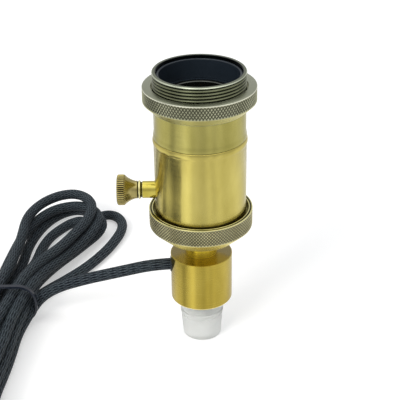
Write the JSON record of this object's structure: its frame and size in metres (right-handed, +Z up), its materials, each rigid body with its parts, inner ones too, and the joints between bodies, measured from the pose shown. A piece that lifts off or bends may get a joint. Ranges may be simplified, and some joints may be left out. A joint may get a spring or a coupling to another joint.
{
  "type": "lamp holder",
  "caption": "Brass lamp holder for an E27 bulb with a shade ring, a rotary switch knob, a cup with a side cord outlet, a bottle stopper and a tied cord.",
  "frame": {"origin": "centre of the stopper's foot, on the holder's axis", "axes": "+Z up along the holder's axis; -X towards the switch knob and the cord; a right-handed frame"},
  "size_m": [0.1664, 0.214, 0.1288],
  "materials": {
    "brushed_brass": "brushed, clear lacquer",
    "knurled_brass": "diamond knurled, aged",
    "gold_brass": "turned and polished",
    "nickel_brass": "nickel plated, satin",
    "contact_bronze": "rolled strip",
    "zinc_steel": "zinc plated",
    "black_plastic": "moulded, smooth",
    "ceramic": "glazed ceramic",
    "clear_plastic": "translucent, frosted",
    "braided_cord": "round black braid",
    "core_insulation": "insulated core",
    "tie_plastic": "thin tie",
    "plug_plastic": "moulded",
    "pin_nickel": "nickel plated"
  },
  "bodies": {
    "holder": {"stopper": "clear_plastic", "outlet_cup": "gold_brass", "base_cap": "knurled_brass", "threaded_nipple": "zinc_steel", "nipple_nut": "zinc_steel", "lower_shell": "brushed_brass", "upper_sleeve": "brushed_brass", "insulating_liner": "black_plastic", "socket_base": "black_plastic", "screw_shell": "nickel_brass", "centre_contact": "contact_bronze", "shell_contact": "contact_bronze", "supply_contact": "contact_bronze", "terminal_blocks": "contact_bronze", "terminal_screws": "zinc_steel", "switch_body": "black_plastic", "detent_spring": "contact_bronze", "bushing_nut": "zinc_steel", "switch_bushing": "gold_brass", "cord_bushing": "black_plastic", "cord_grip": "black_plastic", "live_wire": "core_insulation", "neutral_wire": "core_insulation", "cord_lead": "braided_cord", "cord_hank": "braided_cord", "cord_tie": "tie_plastic", "cord_tail": "braided_cord", "plug_body": "plug_plastic", "plug_pins": "pin_nickel"},
    "shade_ring": {"shade_ring": "knurled_brass"},
    "knob": {"switch_knob": "gold_brass", "switch_shaft": "zinc_steel", "switch_rotor": "ceramic"}
  },
  "joints": [
    {"name": "knob_turn", "type": "hinge", "parent": "holder", "child": "knob", "pos_m": [0, 0, 0.0741], "axis": [-1, 0, 0], "continuous": true},
    {"name": "ring_unscrew", "type": "slide", "parent": "holder", "child": "shade_ring", "axis": [0, 0, 1], "range_m": [0, 0.018]}
  ]
}
